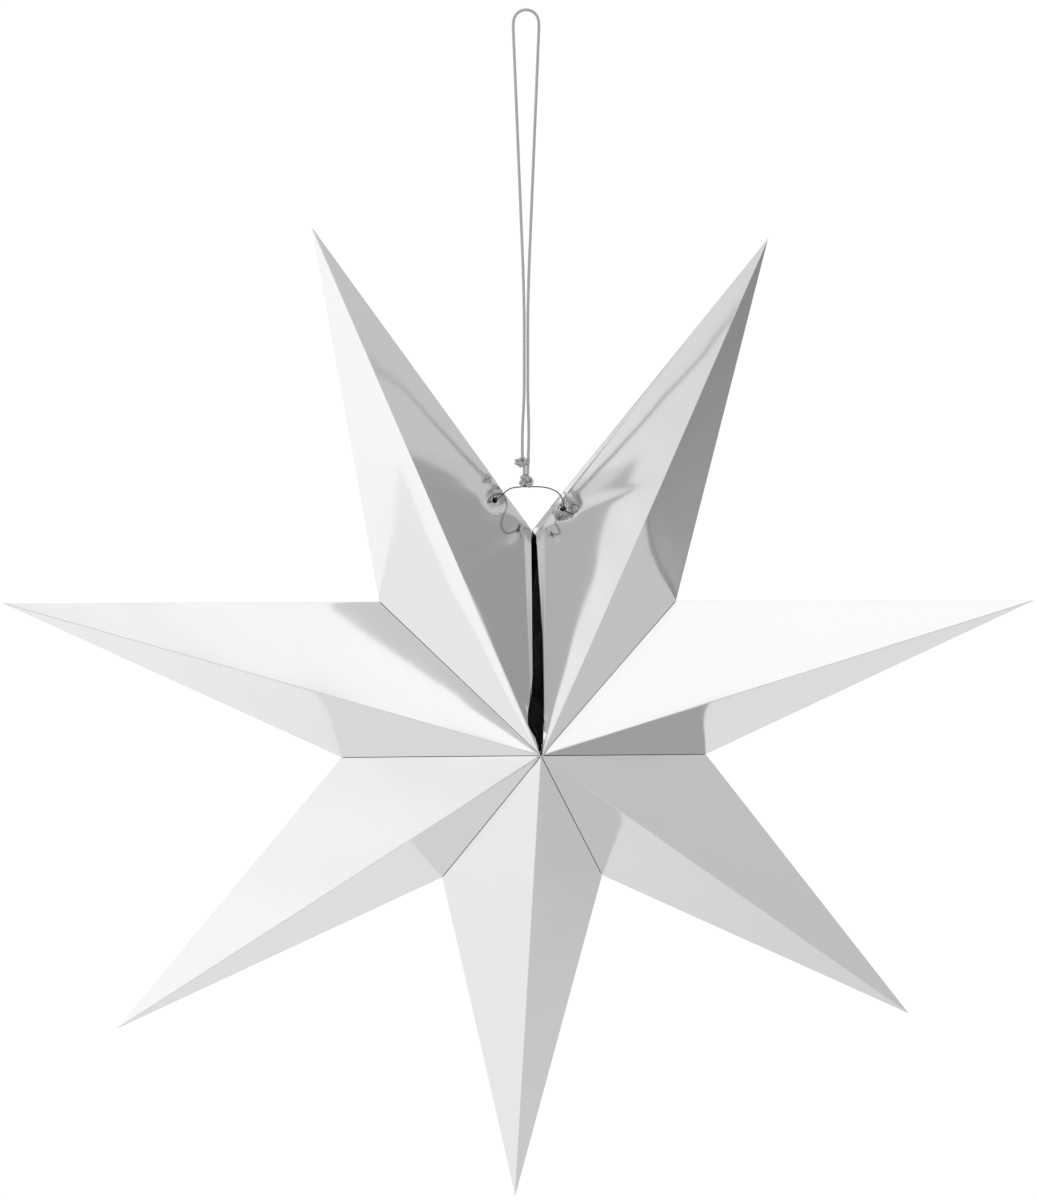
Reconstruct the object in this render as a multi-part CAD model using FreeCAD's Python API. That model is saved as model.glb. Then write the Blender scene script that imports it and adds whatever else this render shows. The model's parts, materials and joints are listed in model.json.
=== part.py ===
"""A seven-pointed folded star of foil-faced card on a hanging loop of cord.

Frame: millimetres, +Z up, +X to the right and -Y towards the viewer, seen from the front.
The origin is the hanging point: the inside top of the loop, where a hook carries it.

Each point of the star is one folded card pocket. Seen along Y it is a kite whose inner corner
lies on the star's centre axis. Its front and its back ridge fold run from the centre out to the
tip, and narrow flaps are turned in along its inner edges, where it is glued to its neighbours.
The first and the last point of the row are not glued to each other. A thread goes through a punched
hole in each of them and is knotted behind it, and the star folds flat like a fan without it.
"""
import FreeCAD
import Part
import math
import os

Vec = FreeCAD.Vector

# ---- driving dimensions, the star ----
POINT_COUNT = 7
TIP_RADIUS = 225.0          # centre axis to a tip
VALLEY_RADIUS = 81.0        # centre axis to a valley between two tips
HALF_DEPTH = 60.0           # star plane to the front or the back centre
CARD = 0.4                  # thickness of the foil-faced card
FLAP_WIDTH = 8.0            # glue flap turned in along each inner edge
SEAM_GAP = 0.3              # between two neighbouring points
TOP_VALLEY_DROP = 211.0     # hanging point down to the valley at the open seam
HANG_ROLL = 1.24            # degrees, how far the star hangs turned clockwise
LEFT_TIP_LEAN = 1.75        # degrees clockwise: both laced tips lean towards the cord
RIGHT_TIP_LEAN = -0.5

# ---- driving dimensions, the open seam between the two laced points ----
SLIT_GAP = 1.6              # all along the seam
SLIT_SWELL_START = 28.0     # from the centre axis: below it the left edge has curled away
SLIT_SWELL_MIDDLE = 14.0
SLIT_SWELL_END = 6.0
SLIT_START_OFFSET = 3.0     # seam to the left edge where the swelling starts
SLIT_BELLY_OFFSET = 6.8     # seam to the left edge at its widest

# ---- driving dimensions, the lacing ----
THREAD_DIAMETER = 0.6
LEFT_HOLE = (-13.4, -196.6)     # x and z where the thread passes through the left laced point
RIGHT_HOLE = (15.1, -201.3)
HOLE_CLEARANCE = 1.0        # all round the thread in its punched holes
THREAD_END_SIDE = 8.3       # star plane to the middle of the knot behind each hole
THREAD_END_RADIUS = 1.6     # of those knots, which are larger than the holes

# ---- driving dimensions, the cord and its knots ----
CORD_DIAMETER = 1.3
LOOP_KNOT_CENTRE = Vec(-2.0, 0, -182.0)
LOOP_KNOT_HALF_LENGTH = 3.3
LOOP_KNOT_RADIUS = 2.2
HITCH_KNOT_HALF_LENGTH = 3.7
HITCH_KNOT_RADIUS = 3.5
EYE_DROP = 192.4            # hanging point down to the eye that the thread passes through
EYE_CLEARANCE = 0.3         # all round the thread in the eye
EYE_WALL = 0.6              # what is left of the lower knot under the eye
NECK_STRAND_GAP = 0.2       # between the neck's two strands
NECK_GAP = 0.25             # between the neck and the lower knot, which turns below it
ARC_SHARE = 0.45            # share of the shorter run that a cord's arc takes up

# Names round the star, clockwise from the open seam, seen from the front.
POINT_NAMES = ["upper_right_point", "right_point", "lower_right_point", "bottom_point",
               "lower_left_point", "left_point", "upper_left_point"]
FIRST_POINT = POINT_NAMES[0]
LAST_POINT = POINT_NAMES[-1]

PITCH = 360.0 / POINT_COUNT
CENTRE = Vec(0, 0, -TOP_VALLEY_DROP - VALLEY_RADIUS)
FRONT_CENTRE = CENTRE + Vec(0, -HALF_DEPTH, 0)
BACK_CENTRE = CENTRE + Vec(0, HALF_DEPTH, 0)
UP = Vec(0, 0, 1)
BACKWARDS = Vec(0, 1, 0)
BLOCK = 3.0 * TIP_RADIUS    # larger than the star that it trims
REACH = 1.0                 # how far a cutting solid reaches past what it cuts
HOLE_RADIUS = THREAD_DIAMETER / 2 + HOLE_CLEARANCE
EYE_RADIUS = THREAD_DIAMETER / 2 + EYE_CLEARANCE
HITCH_KNOT_CENTRE = Vec(0, 0, -EYE_DROP - EYE_RADIUS - EYE_WALL + HITCH_KNOT_RADIUS)
NECK_SPREAD = (CORD_DIAMETER + NECK_STRAND_GAP) / 2

# Routes as points (x, y, z). The cord carries the star, so its strands are straight runs.
CORD_ROUTE = [
    (-1.5, 0.0, -181.2), (-1.7, 0.1, -171.0), (-0.75, 0.0, -155.0), (-0.76, -0.1, -113.0),
    (-5.33, 0.0, -2.5), (-2.2, 0.0, 0.65), (2.2, 0.0, 0.65), (5.33, 0.0, -2.5),
    (0.76, 0.1, -113.0), (0.75, 0.0, -155.0), (1.3, -0.1, -171.0), (0.9, 0.0, -181.2)]
THREAD_ROUTE = [
    (LEFT_HOLE[0], THREAD_END_SIDE, LEFT_HOLE[1]), (LEFT_HOLE[0] - 0.1, 1.1, LEFT_HOLE[1] - 0.1),
    (LEFT_HOLE[0], -6.2, LEFT_HOLE[1]), (-11.2, -7.6, -194.9), (-9.0, -4.6, -193.3),
    (-5.5, 0.0, -EYE_DROP), (5.4, 0.0, -EYE_DROP), (9.6, -2.6, -192.6), (13.4, -5.6, -194.2),
    (15.0, -7.4, -197.6), (RIGHT_HOLE[0], -6.4, RIGHT_HOLE[1]),
    (RIGHT_HOLE[0] + 0.1, 1.0, RIGHT_HOLE[1] - 0.1), (RIGHT_HOLE[0], THREAD_END_SIDE, RIGHT_HOLE[1])]


def outward(angle):
    """Unit vector in the star's plane, at an angle in degrees clockwise from the open seam."""
    turn = math.radians(angle + HANG_ROLL)
    return Vec(math.sin(turn), 0, math.cos(turn))


def plane_through(a, b, c, inside, shift):
    """Plane through three points, moved by shift towards a point that is inside."""
    normal = (b - a).cross(c - a)
    normal.normalize()
    if (inside - a).dot(normal) < 0:
        normal = normal * -1
    return a + normal * shift, normal


def trimmed(solid, planes):
    """The part of a solid that lies on the inner side of every plane."""
    for point, normal in planes:
        block = Part.makeBox(2 * BLOCK, 2 * BLOCK, BLOCK, Vec(-BLOCK, -BLOCK, 0))
        block.Placement = FreeCAD.Placement(point, FreeCAD.Rotation(UP, normal * -1))
        solid = solid.cut(block)
    return solid


def wedge(angle, lean, skin, clockwise_side, other_side):
    """The sector of one point, with its facets moved in by skin and its two sides as given."""
    tip = CENTRE + outward(angle + lean) * TIP_RADIUS
    clockwise = CENTRE + outward(angle + PITCH / 2) * VALLEY_RADIUS
    other = CENTRE + outward(angle - PITCH / 2) * VALLEY_RADIUS
    inside = (FRONT_CENTRE + BACK_CENTRE + tip + clockwise + other) / 5
    planes = []
    for centre in (FRONT_CENTRE, BACK_CENTRE):
        for valley in (clockwise, other):
            planes.append(plane_through(centre, tip, valley, inside, skin))
    planes.append(plane_through(FRONT_CENTRE, clockwise, BACK_CENTRE, inside, clockwise_side))
    planes.append(plane_through(FRONT_CENTRE, other, BACK_CENTRE, inside, other_side))
    start = Part.makeBox(BLOCK, BLOCK, BLOCK, CENTRE - Vec(BLOCK, BLOCK, BLOCK) / 2)
    return trimmed(start, planes)


def flap_window(angle, inwards, side):
    """The opening between the front and the back flap of one side, as a thin prism.

    The side is a triangle from the front centre over the valley to the back centre. The window is
    that triangle with its two outer edges moved in by the flap width, run past the centre axis.
    """
    edge = math.hypot(HALF_DEPTH, VALLEY_RADIUS)
    half = HALF_DEPTH - FLAP_WIDTH * edge / VALLEY_RADIUS
    slope = HALF_DEPTH / VALLEY_RADIUS
    along = outward(angle)
    start = CENTRE - inwards * REACH
    corners = [start - along * REACH - BACKWARDS * (half + REACH * slope),
               start + along * (half / slope),
               start - along * REACH + BACKWARDS * (half + REACH * slope)]
    face = Part.Face(Part.makePolygon(corners + corners[:1]))
    return face.extrude(inwards * (REACH + side + CARD + SEAM_GAP / 2))


def slit_cutter():
    """What the curled left edge of the open seam leaves free, from the front to the star plane."""
    along = outward(0)
    left = outward(-90)

    def spot(distance, offset):
        return CENTRE + along * distance + left * offset

    start = spot(SLIT_SWELL_START, SLIT_START_OFFSET)
    belly = spot(SLIT_SWELL_MIDDLE, SLIT_BELLY_OFFSET)
    end = spot(SLIT_SWELL_END, SLIT_GAP / 2)
    top_inner = spot(VALLEY_RADIUS + REACH, 0)
    top_outer = spot(VALLEY_RADIUS + REACH, SLIT_GAP / 2)
    low_inner = spot(SLIT_SWELL_END, 0)
    edges = [Part.LineSegment(top_inner, top_outer).toShape(),
             Part.LineSegment(top_outer, start).toShape(),
             Part.Arc(start, belly, end).toShape(),
             Part.LineSegment(end, low_inner).toShape(),
             Part.LineSegment(low_inner, top_inner).toShape()]
    return Part.Face(Part.Wire(edges)).extrude(BACKWARDS * -(HALF_DEPTH + REACH))


def punch(place):
    """Round punch through the front and the back of a laced point, where the thread passes."""
    front = Vec(place[0], -HALF_DEPTH, place[1])
    return Part.makeCylinder(HOLE_RADIUS, 2 * HALF_DEPTH, front, BACKWARDS)


def star_point(number, name):
    """One folded pocket with its turned-in flaps."""
    angle = (number + 0.5) * PITCH
    lean = {FIRST_POINT: RIGHT_TIP_LEAN, LAST_POINT: LEFT_TIP_LEAN}.get(name, 0.0)
    clockwise_side = SLIT_GAP / 2 if name == LAST_POINT else SEAM_GAP / 2
    other_side = SLIT_GAP / 2 if name == FIRST_POINT else SEAM_GAP / 2
    outside = wedge(angle, lean, 0, clockwise_side, other_side)
    hollow = wedge(angle, lean, CARD, clockwise_side + CARD, other_side + CARD)
    card = outside.cut(hollow)
    clockwise_inwards = outward(angle + PITCH / 2 - 90)
    other_inwards = outward(angle - PITCH / 2 + 90)
    card = card.cut(flap_window(angle + PITCH / 2, clockwise_inwards, clockwise_side))
    card = card.cut(flap_window(angle - PITCH / 2, other_inwards, other_side))
    if name == LAST_POINT:
        card = card.cut(slit_cutter())
        card = card.cut(punch(LEFT_HOLE))
    if name == FIRST_POINT:
        card = card.cut(punch(RIGHT_HOLE))
    return card


def tube(route, diameter, label):
    """Round tube along straight runs joined by tangent arcs; prints its radii and its length."""
    spots = [Vec(*place) for place in route]
    edges = []
    radii = []
    at = spots[0]
    for before, corner, after in zip(spots, spots[1:], spots[2:]):
        arriving = corner - before
        leaving = after - corner
        turn = arriving.getAngle(leaving)
        setback = ARC_SHARE * min(arriving.Length, leaving.Length)
        radius = setback / math.tan(turn / 2)
        radii.append(radius)
        arriving.normalize()
        leaving.normalize()
        first = corner - arriving * setback
        last = corner + leaving * setback
        bisector = leaving - arriving
        bisector.normalize()
        middle = corner + bisector * (math.hypot(radius, setback) - radius)
        edges.append(Part.LineSegment(at, first).toShape())
        edges.append(Part.Arc(first, middle, last).toShape())
        at = last
    edges.append(Part.LineSegment(at, spots[-1]).toShape())
    path = Part.Wire(edges)
    ring = Part.Wire([Part.Circle(spots[0], spots[1] - spots[0], diameter / 2).toShape()])
    solid = path.makePipeShell([ring], True, False)
    section = math.pi * diameter ** 2 / 4
    print(label, "length", round(path.Length, 1), "tightest radius", round(min(radii), 2),
          "radii", [round(radius, 1) for radius in radii],
          "volume share", round(solid.Volume / (section * path.Length), 4))
    return solid


def bead(centre, half_length, radius):
    """A knot's outer shape: a round bar with ball ends, along X."""
    reach = half_length - radius
    solid = Part.makeSphere(radius, centre - Vec(reach, 0, 0))
    if reach > 0:
        solid = solid.fuse(Part.makeSphere(radius, centre + Vec(reach, 0, 0)))
        solid = solid.fuse(Part.makeCylinder(radius, 2 * reach, centre - Vec(reach, 0, 0), Vec(1, 0, 0)))
    return solid


def loop_knot():
    """Knot that closes the loop, and the neck of two strands below it."""
    knot = bead(LOOP_KNOT_CENTRE, LOOP_KNOT_HALF_LENGTH, LOOP_KNOT_RADIUS)
    top = LOOP_KNOT_CENTRE.z
    bottom = HITCH_KNOT_CENTRE.z + HITCH_KNOT_RADIUS + NECK_GAP
    web = Part.makeBox(2 * NECK_SPREAD, CORD_DIAMETER / 2, top - bottom,
                       Vec(-NECK_SPREAD, -CORD_DIAMETER / 4, bottom))
    knot = knot.fuse(web)
    for x in (-NECK_SPREAD, NECK_SPREAD):
        strand = Part.makeCylinder(CORD_DIAMETER / 2, top - bottom, Vec(x, 0, bottom), UP)
        knot = knot.fuse(strand)
    return knot.removeSplitter()


def hitch_knot():
    """Lower knot, with the eye that the thread passes through."""
    knot = bead(HITCH_KNOT_CENTRE, HITCH_KNOT_HALF_LENGTH, HITCH_KNOT_RADIUS)
    half = HITCH_KNOT_HALF_LENGTH + REACH
    eye = Part.makeCylinder(EYE_RADIUS, 2 * half, Vec(-half, 0, -EYE_DROP), Vec(1, 0, 0))
    return knot.cut(eye)


def tie_thread():
    """Thread from behind the left hole through the eye to behind the right hole, knotted there."""
    solid = tube(THREAD_ROUTE, THREAD_DIAMETER, "tie_thread")
    for end in (THREAD_ROUTE[0], THREAD_ROUTE[-1]):
        solid = solid.fuse(Part.makeSphere(THREAD_END_RADIUS, Vec(*end)))
    return solid


def main():
    parts = {}
    for number, name in enumerate(POINT_NAMES):
        parts[name] = star_point(number, name)
    parts["hanging_cord"] = tube(CORD_ROUTE, CORD_DIAMETER, "hanging_cord")
    parts["loop_knot"] = loop_knot()
    parts["hitch_knot"] = hitch_knot()
    parts["tie_thread"] = tie_thread()
    os.makedirs("parts", exist_ok=True)
    for name, shape in parts.items():
        print(name, "solids", len(shape.Solids), "valid", shape.isValid(),
              "mm3", round(shape.Volume, 1))
        shape.exportStep("parts/" + name + ".step")


main()
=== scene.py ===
# %% [markdown]
# # A folded star of mirror foil
#
# The object is a seven-pointed star made of folded card with a mirror-silver foil face. Seven card
# pockets are glued side by side round one centre axis. The last seam, at the top, stays open and
# is laced with a dark thread, and the thread hangs from a narrow loop of silver cord.
# This file dresses the ready-made mechanical frame: it reads where every part sits and builds the
# visible shapes and finishes around it.

# %% Load the frame
import json
import math

import bmesh
import bpy
import numpy as np
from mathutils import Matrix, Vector


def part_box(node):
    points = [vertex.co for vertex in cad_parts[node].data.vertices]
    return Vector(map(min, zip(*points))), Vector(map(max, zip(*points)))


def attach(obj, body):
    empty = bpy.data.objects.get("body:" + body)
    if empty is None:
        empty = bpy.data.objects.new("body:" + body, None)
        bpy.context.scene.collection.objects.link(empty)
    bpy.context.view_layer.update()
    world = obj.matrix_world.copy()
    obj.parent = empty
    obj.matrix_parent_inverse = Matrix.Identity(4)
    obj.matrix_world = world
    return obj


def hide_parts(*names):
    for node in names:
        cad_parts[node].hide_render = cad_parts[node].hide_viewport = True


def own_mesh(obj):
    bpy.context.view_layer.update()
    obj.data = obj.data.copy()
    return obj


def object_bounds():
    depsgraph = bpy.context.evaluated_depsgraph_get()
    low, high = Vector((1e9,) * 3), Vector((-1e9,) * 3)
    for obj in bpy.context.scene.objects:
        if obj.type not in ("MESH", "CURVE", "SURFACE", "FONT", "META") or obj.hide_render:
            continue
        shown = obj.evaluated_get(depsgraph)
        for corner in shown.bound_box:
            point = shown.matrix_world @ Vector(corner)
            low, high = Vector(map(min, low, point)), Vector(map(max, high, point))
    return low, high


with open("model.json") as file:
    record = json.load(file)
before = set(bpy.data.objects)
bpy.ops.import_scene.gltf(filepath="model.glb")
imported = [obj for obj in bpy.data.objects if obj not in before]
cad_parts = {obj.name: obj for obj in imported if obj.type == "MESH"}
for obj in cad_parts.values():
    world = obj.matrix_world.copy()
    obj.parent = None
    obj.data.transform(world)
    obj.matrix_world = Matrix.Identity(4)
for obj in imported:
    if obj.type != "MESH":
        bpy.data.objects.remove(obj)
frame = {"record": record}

cad_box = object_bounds()
scene = bpy.context.scene
joints = {joint["name"]: joint for joint in frame["record"]["behaviour"]["joints"]}
print("CAD box", [list(corner) for corner in cad_box])

# %% [markdown]
# ## The star's measures
#
# All seven pockets share one centre axis, which the folding joint already names. The other sizes
# are worked out from the boxes of the frame's parts, so the looks follow the design when it
# changes: the bottom pocket alone gives the depth, the reach of the tips and of the valleys.

# %% Sizes from the frame
MM = 0.001
POINT_COUNT = 7
PITCH = 2 * math.pi / POINT_COUNT
HANG_ROLL = math.radians(1.24)
CENTRE = np.array(joints["fan_fold"]["pos_m"], float)
FRONTWARD = np.array([0.0, -1.0, 0.0])

bottom_low, bottom_high = (np.array(corner, float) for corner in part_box("bottom_point"))
TIP_RADIUS = (CENTRE[2] - bottom_low[2]) / math.cos(HANG_ROLL)
VALLEY_RADIUS = (bottom_high[0] - bottom_low[0]) / (2 * math.sin(PITCH / 2) * math.cos(HANG_ROLL))
HALF_DEPTH = (bottom_high[1] - bottom_low[1]) / 2
print("tip", round(TIP_RADIUS, 4), "valley", round(VALLEY_RADIUS, 4), "depth", round(HALF_DEPTH, 4))

# %% [markdown]
# ## The camera
#
# A folded star shows its relief best from a little above and a little to one side. The camera
# stands about five tip radii away, looks straight at the star's centre, and its picture is shifted
# so that the cord fits in above.

# %% Camera
CAMERA_AZIMUTH = math.radians(-5.86)
CAMERA_ELEVATION = math.radians(15.85)
CAMERA_DISTANCE = 5.094 * TIP_RADIUS
SENSOR_HEIGHT = 24.0
LENS = 53.46
SHIFT_ACROSS = -0.00625
SHIFT_UP = 0.096333

towards_camera = np.array([math.sin(CAMERA_AZIMUTH) * math.cos(CAMERA_ELEVATION),
                           -math.cos(CAMERA_AZIMUTH) * math.cos(CAMERA_ELEVATION),
                           math.sin(CAMERA_ELEVATION)])
camera_data = bpy.data.cameras.new("camera")
camera_data.sensor_fit = "VERTICAL"
camera_data.sensor_height = SENSOR_HEIGHT
camera_data.lens = LENS
camera_data.shift_x = SHIFT_ACROSS
camera_data.shift_y = SHIFT_UP
camera = bpy.data.objects.new("camera", camera_data)
camera.location = CENTRE + towards_camera * CAMERA_DISTANCE
camera.rotation_euler = (math.pi / 2 - CAMERA_ELEVATION, 0.0, CAMERA_AZIMUTH)
scene.collection.objects.link(camera)
scene.camera = camera
print("camera at", np.round(np.array(camera.location), 3))

# %% [markdown]
# ## Surfaces as grids of points
#
# Every new shape here is a table of points: rows go along it and columns go across. One helper
# turns such a table into a mesh. A grid can close on itself, as a tube does, and a tube's two ends
# get one middle point each, so that no hole is left.

# %% Grid to mesh
def grid_faces(rows, columns, wrap):
    """Four corner numbers of each cell of a rows by columns table, joined round if wrap."""
    across = columns if wrap else columns - 1
    row, column = np.meshgrid(np.arange(rows - 1), np.arange(across), indexing="ij")
    after = (column + 1) % columns
    corners = [row * columns + column, row * columns + after,
               (row + 1) * columns + after, (row + 1) * columns + column]
    return np.stack(corners, axis=-1).reshape(-1, 4)


def mesh_object(name, vertices, faces, smooth=True):
    """Object at the origin with the given points and faces."""
    mesh = bpy.data.meshes.new(name)
    mesh.from_pydata(vertices.tolist(), [], [list(map(int, face)) for face in faces])
    mesh.update()
    if smooth:
        mesh.shade_smooth()
    piece = bpy.data.objects.new(name, mesh)
    scene.collection.objects.link(piece)
    return piece


def across_directions(path, reference):
    """Two unit directions square to a path at each of its points, the first nearest reference."""
    along = np.gradient(path, axis=0)
    along /= np.linalg.norm(along, axis=1, keepdims=True)
    first = reference - (along @ reference)[:, None] * along
    first /= np.linalg.norm(first, axis=1, keepdims=True)
    return first, np.cross(along, first)


def tube_rings(path, radius, sides, reference):
    """Rings of a round tube: path + radius (cos a, sin a) in the two directions across it."""
    first, second = across_directions(path, reference)
    angle = np.linspace(0, 2 * math.pi, sides, endpoint=False)
    return (path[:, None] + radius * (np.cos(angle)[None, :, None] * first[:, None]
                                      + np.sin(angle)[None, :, None] * second[:, None]))


def closed_tube(path, radius, sides, reference):
    """Points and faces of a round tube along an open path, with a middle point in each end."""
    rows = len(path)
    rings = tube_rings(path, radius, sides, reference)
    points = np.concatenate([rings.reshape(-1, 3), path[:1], path[-1:]])
    ring = np.arange(sides)
    after = (ring + 1) % sides
    last = (rows - 1) * sides
    start, end = np.full(sides, rows * sides), np.full(sides, rows * sides + 1)
    caps = np.concatenate([np.stack([after, ring, start], axis=1),
                           np.stack([ring + last, after + last, end], axis=1)])
    return points, grid_faces(rows, sides, True).tolist() + caps.tolist()


def joined(shapes):
    """Points and faces of several shapes as one list each, with the corner numbers moved along."""
    points, faces, count = [], [], 0
    for shape_points, shape_faces in shapes:
        points.append(shape_points)
        faces += [[corner + count for corner in face] for face in shape_faces]
        count += len(shape_points)
    return np.concatenate(points), faces


print("a 3 by 4 tube has", len(grid_faces(3, 4, True)), "cells")

# %% [markdown]
# ## The routes of the cord and the thread
#
# A cord is a smooth line of fixed length. The points below are listed one by one, the way one would
# lay the cord over pins: up one side, over the hook and down the other. A NURBS curve of order 3
# rounds them. The curve is only read for its line, and the visible strands are laid along it.

# %% Smooth route lines
CORD_ROUTE = [
    (-1.5, 0.0, -181.2), (-1.7, 0.1, -171.0), (-0.75, 0.0, -155.0), (-0.76, 0.0, -139.0),
    (-0.76, -0.1, -113.0), (-2.5, 0.0, -71.0), (-5.0, 0.0, -10.5), (-5.33, 0.0, -2.5),
    (-2.2, 0.0, 0.65), (2.2, 0.0, 0.65), (5.33, 0.0, -2.5), (5.0, 0.0, -10.5),
    (2.5, 0.0, -71.0), (0.76, 0.1, -113.0), (0.75, 0.0, -139.0), (0.75, 0.0, -155.0),
    (1.3, -0.1, -171.0), (0.9, 0.0, -181.2)]
THREAD_ROUTE = [
    (-13.4, 8.3, -196.6), (-13.5, 1.1, -196.7), (-13.4, -6.2, -196.6), (-11.2, -7.6, -194.9),
    (-9.0, -4.6, -193.3), (-5.5, 0.0, -192.4), (5.4, 0.0, -192.4), (9.6, -2.6, -192.6),
    (13.4, -5.6, -194.2), (15.0, -7.4, -197.6), (15.1, -6.4, -201.3), (15.2, 1.0, -201.4),
    (15.1, 8.3, -201.3)]


def smooth_line(name, route, resolution):
    """Points along the order 3 NURBS line that the route's points, in millimetres, control."""
    curve = bpy.data.curves.new(name, "CURVE")
    curve.dimensions = "3D"
    curve.resolution_u = resolution
    spline = curve.splines.new("NURBS")
    spline.points.add(len(route) - 1)
    for control, place in zip(spline.points, route):
        control.co = (place[0] * MM, place[1] * MM, place[2] * MM, 1.0)
    spline.order_u = 3
    spline.use_endpoint_u = True
    holder = bpy.data.objects.new(name, curve)
    mesh = bpy.data.meshes.new_from_object(holder)
    line = np.array([vertex.co for vertex in mesh.vertices], float)
    bpy.data.objects.remove(holder)
    bpy.data.meshes.remove(mesh)
    return line


def line_length(line):
    """Length of a line of points."""
    return float(np.linalg.norm(np.diff(line, axis=0), axis=1).sum())


def evenly_spaced(line, step):
    """The same line with points a step apart, measured along it."""
    walked = np.concatenate([[0.0], np.cumsum(np.linalg.norm(np.diff(line, axis=0), axis=1))])
    stops = np.linspace(0.0, walked[-1], int(walked[-1] / step) + 1)
    return np.stack([np.interp(stops, walked, line[:, axis]) for axis in range(3)], axis=1)


cord_line = smooth_line("cord_route", CORD_ROUTE, 32)
thread_line = smooth_line("thread_route", THREAD_ROUTE, 16)
print("cord", round(line_length(cord_line), 4), "m, thread", round(line_length(thread_line), 4), "m")

# %% [markdown]
# ## The hanging cord
#
# The cord is three thin yarns twisted round each other. Each yarn's middle line is the route plus a
# small circle that turns as it goes along, so the twist is real geometry and catches the light as
# a row of slanting beads.

# %% Twisted cord
CORD_DIAMETER = 1.3 * MM
YARN_RADIUS = 0.34 * MM
YARN_COUNT = 3
YARN_SIDES = 8
YARN_STEP = 0.42 * MM
CORD_PITCH = 4.2 * MM
ACROSS_LOOP = np.array([0.0, 1.0, 0.0])


def twisted_yarns(line, step, pitch, circle, strands, reference):
    """Yarn middle lines: line + circle (cos a, sin a), where a grows by a turn in each pitch."""
    path = evenly_spaced(line, step)
    first, second = across_directions(path, reference)
    turn = 2 * math.pi * np.arange(len(path)) * step / pitch
    yarns = []
    for strand in range(strands):
        angle = (turn + 2 * math.pi * strand / strands)[:, None]
        yarns.append(path + circle * (np.cos(angle) * first + np.sin(angle) * second))
    return yarns


cord_yarns = twisted_yarns(cord_line, YARN_STEP, CORD_PITCH, CORD_DIAMETER / 2 - YARN_RADIUS,
                           YARN_COUNT, ACROSS_LOOP)
cord = mesh_object("silver_hanging_cord", *joined(
    [closed_tube(yarn, YARN_RADIUS, YARN_SIDES, ACROSS_LOOP) for yarn in cord_yarns]))
print("cord faces", len(cord.data.polygons))

# %% [markdown]
# ## The lacing thread
#
# A thin waxed thread comes out of the left hole, passes through the lower knot and goes into the
# right hole. A knot behind each hole stops it there. Two plies are enough at this size.

# %% Lacing thread
THREAD_DIAMETER = 0.6 * MM
THREAD_SIDE = np.array([0.707, 0.0, -0.707])
PLY_RADIUS = 0.17 * MM
PLY_COUNT = 2
PLY_STEP = 0.2 * MM
THREAD_PITCH = 1.9 * MM
thread_plies = twisted_yarns(thread_line, PLY_STEP, THREAD_PITCH, THREAD_DIAMETER / 2 - PLY_RADIUS,
                             PLY_COUNT, THREAD_SIDE)
thread = mesh_object("dark_lacing_thread", *joined(
    [closed_tube(ply, PLY_RADIUS, YARN_SIDES, THREAD_SIDE) for ply in thread_plies]))
print("thread faces", len(thread.data.polygons))

# %% [markdown]
# ## The knots
#
# Both ends of the loop are tied together in one overhand knot, and a second one below it grips the
# thread. The thread has a knot of its own behind each hole. An overhand knot is a trefoil that has
# been pulled tight, so its line is the trefoil's formula squeezed to the size of the knot, followed
# by two strands side by side.

# %% Knot shapes
KNOT_SIDES = 12
TAIL_STEPS = 8


def trefoil(centre, half_size, tilt, count=120):
    """Closed trefoil line: (sin t + 2 sin 2t, -3 sin 3t, cos t - 2 cos 2t) / 3, tilted and scaled."""
    t = np.linspace(0, 2 * math.pi, count, endpoint=False)
    shape = np.stack([(np.sin(t) + 2 * np.sin(2 * t)) / 3, -np.sin(3 * t),
                      (np.cos(t) - 2 * np.cos(2 * t)) / 3], axis=1)
    turned = np.stack([shape[:, 0] * math.cos(tilt) - shape[:, 2] * math.sin(tilt), shape[:, 1],
                       shape[:, 0] * math.sin(tilt) + shape[:, 2] * math.cos(tilt)], axis=1)
    return centre + turned * half_size


def ring_tube(line, radius, shift):
    """Points and faces of a tube round a closed line, moved sideways by a share of its radius."""
    along = np.roll(line, -1, axis=0) - np.roll(line, 1, axis=0)
    along /= np.linalg.norm(along, axis=1, keepdims=True)
    outwards = line - line.mean(axis=0)
    first = outwards - (outwards * along).sum(axis=1, keepdims=True) * along
    first /= np.linalg.norm(first, axis=1, keepdims=True)
    second = np.cross(along, first)
    middle = line + second * radius * shift
    angle = np.linspace(0, 2 * math.pi, KNOT_SIDES, endpoint=False)
    rings = middle[:, None] + radius * (np.cos(angle)[None, :, None] * first[:, None]
                                        + np.sin(angle)[None, :, None] * second[:, None])
    faces = grid_faces(len(line) + 1, KNOT_SIDES, True) % (len(line) * KNOT_SIDES)
    return rings.reshape(-1, 3), faces.tolist()


def knot_piece(name, centre, half_size, tilt, radius, tails):
    """Tight doubled knot of round cord with short straight tails, as one mesh."""
    line = trefoil(centre, half_size, tilt)
    strands = [ring_tube(line, radius, shift) for shift in (-1.0, 1.0)]
    ends = [closed_tube(np.linspace(np.array(start) * MM, np.array(end) * MM, TAIL_STEPS), radius,
                        KNOT_SIDES, ACROSS_LOOP) for start, end in tails]
    return mesh_object(name, *joined(strands + ends))


print("a knot's strand has", KNOT_SIDES, "sides")

# %% [markdown]
# The loop's knots sit where the frame has them. Their tails are written as pairs of places in
# millimetres: two strands leave the upper knot and go down into the lower one, and the thread's
# knots each show two cut ends.

# %% The four knots
def box_centre(node):
    """Middle of a frame part's box."""
    low, high = (np.array(corner, float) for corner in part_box(node))
    return (low + high) / 2


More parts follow.
